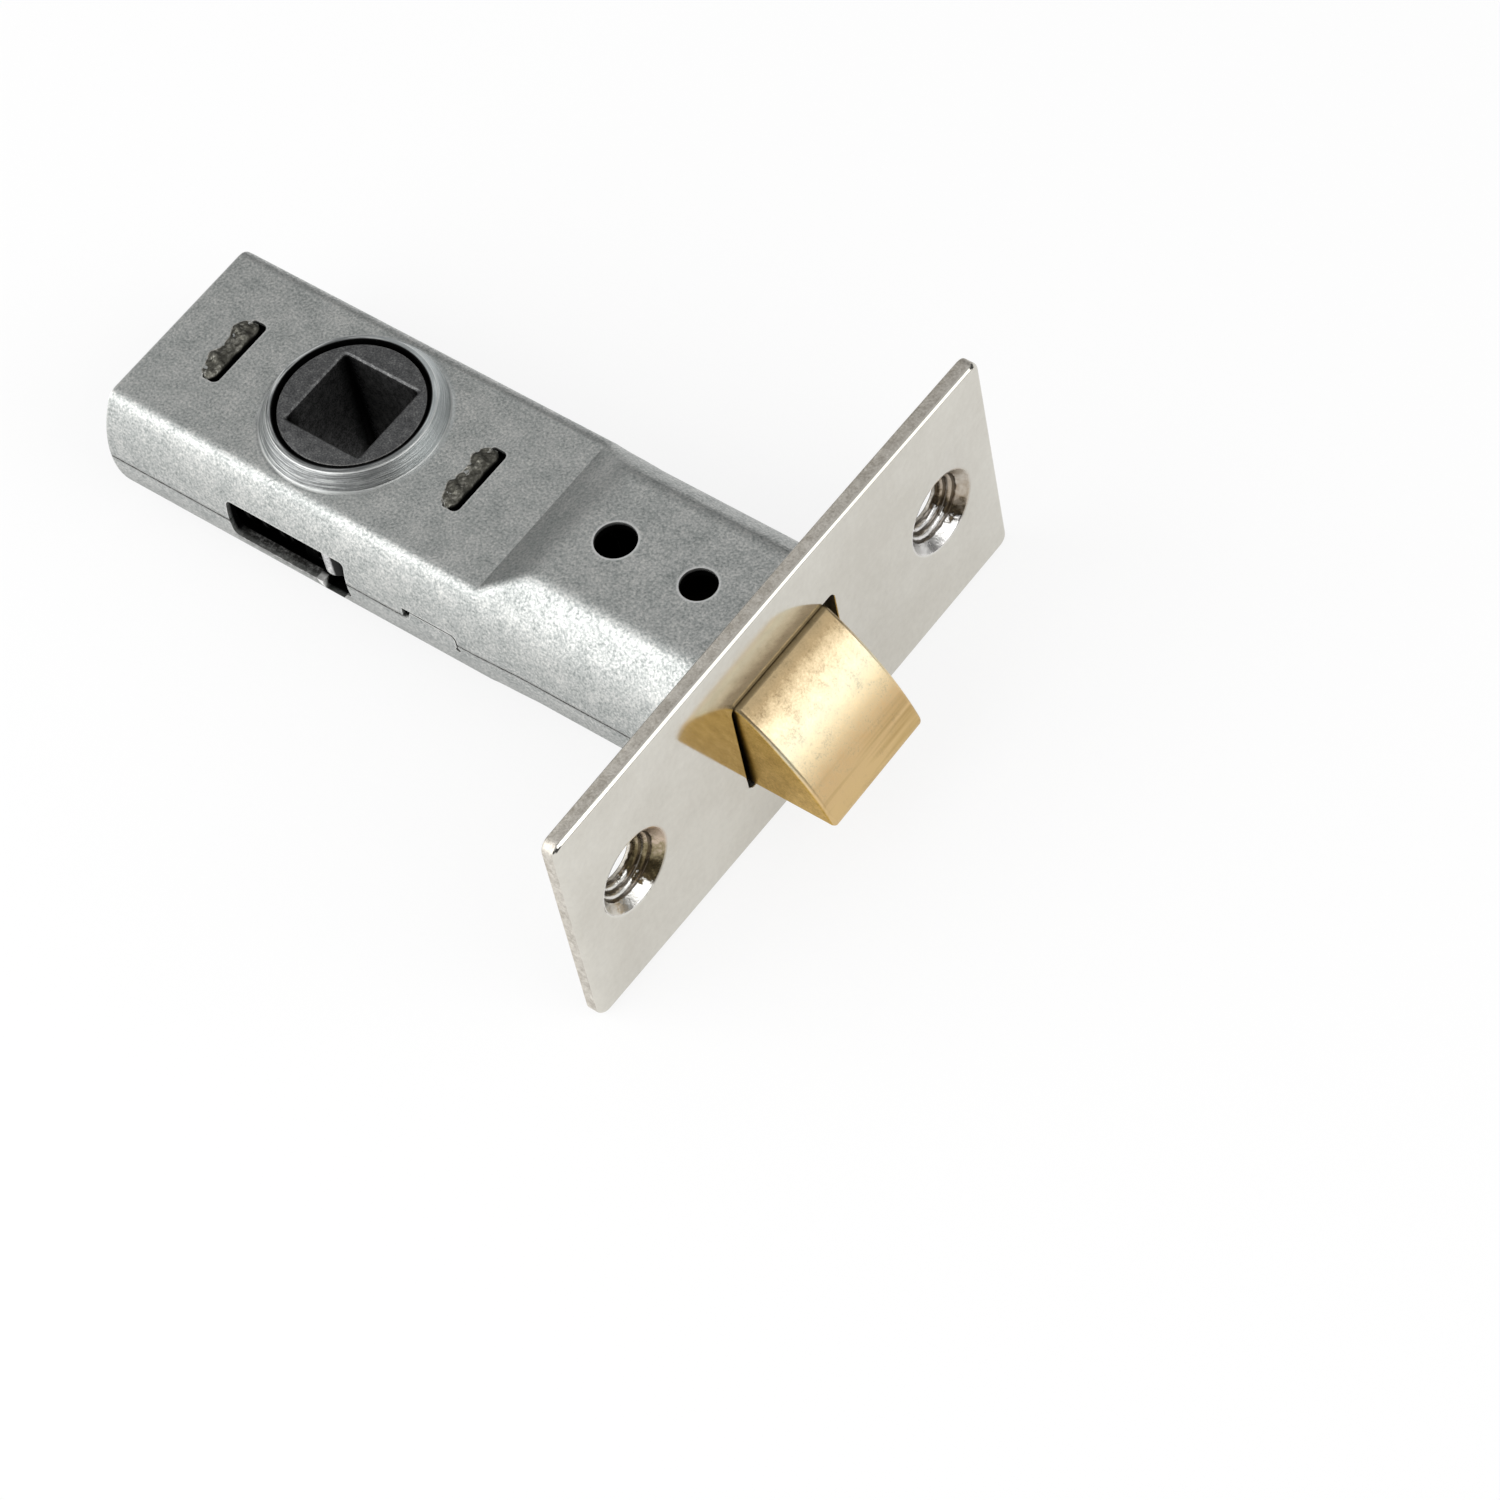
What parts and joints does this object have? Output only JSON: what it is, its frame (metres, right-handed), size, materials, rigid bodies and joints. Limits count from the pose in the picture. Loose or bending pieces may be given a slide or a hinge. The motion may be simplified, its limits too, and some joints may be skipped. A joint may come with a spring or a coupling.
{
  "type": "tubular door latch",
  "caption": "Tubular mortice latch: pressed two-shell steel case, square spindle follower, sprung bevelled brass bolt and a screwed faceplate.",
  "frame": {"origin": "on the spindle axis, halfway through the case", "axes": "+X out of the door's edge along the bolt, +Y along the faceplate, +Z along the spindle towards the upper shell"},
  "size_m": [0.0734, 0.057, 0.025],
  "materials": {
    "case_steel": "zinc plated, pressed, mottled",
    "faceplate_nickel": "bright nickel plate on the front, grained at the edges",
    "plate_steel": "zinc plated, sheared edges",
    "follower_steel": "dull, oiled",
    "bolt_brass": "drawn brass, polished bevel",
    "spring_steel": "drawn wire, oiled"
  },
  "bodies": {
    "case": {"case_top_shell": "case_steel", "case_bottom_shell": "case_steel", "faceplate": "faceplate_nickel", "front_cross_plate": "plate_steel", "rear_cross_plate": "plate_steel", "bolt_spring": "spring_steel", "lever_spring_near": "spring_steel", "lever_spring_far": "spring_steel"},
    "follower": {"follower": "follower_steel"},
    "yoke": {"yoke": "plate_steel"},
    "bolt": {"latch_bolt": "bolt_brass", "bolt_tail": "plate_steel", "bolt_rivet": "bolt_brass", "spring_washer": "plate_steel"}
  },
  "joints": [
    {"name": "follower_turn", "type": "hinge", "parent": "case", "child": "follower", "pos_m": [0, 0, 0], "axis": [0, 0, 1], "range_deg": [0, 60]},
    {"name": "yoke_slide", "type": "slide", "parent": "case", "child": "yoke", "axis": [1, 0, 0], "range_m": [-0.0087, 0], "stiffness_N_per_m": 600, "springref_m": 0.005, "deforming": ["lever_spring_near", "lever_spring_far"]},
    {"name": "bolt_push", "type": "slide", "parent": "yoke", "child": "bolt", "axis": [1, 0, 0], "range_m": [-0.0087, 0], "stiffness_N_per_m": 300, "springref_m": 0.012, "deforming": ["bolt_spring"]}
  ],
  "couplings": [
    {"joint": "follower_turn", "follows": "yoke_slide", "rad_per_m": -120.36}
  ]
}
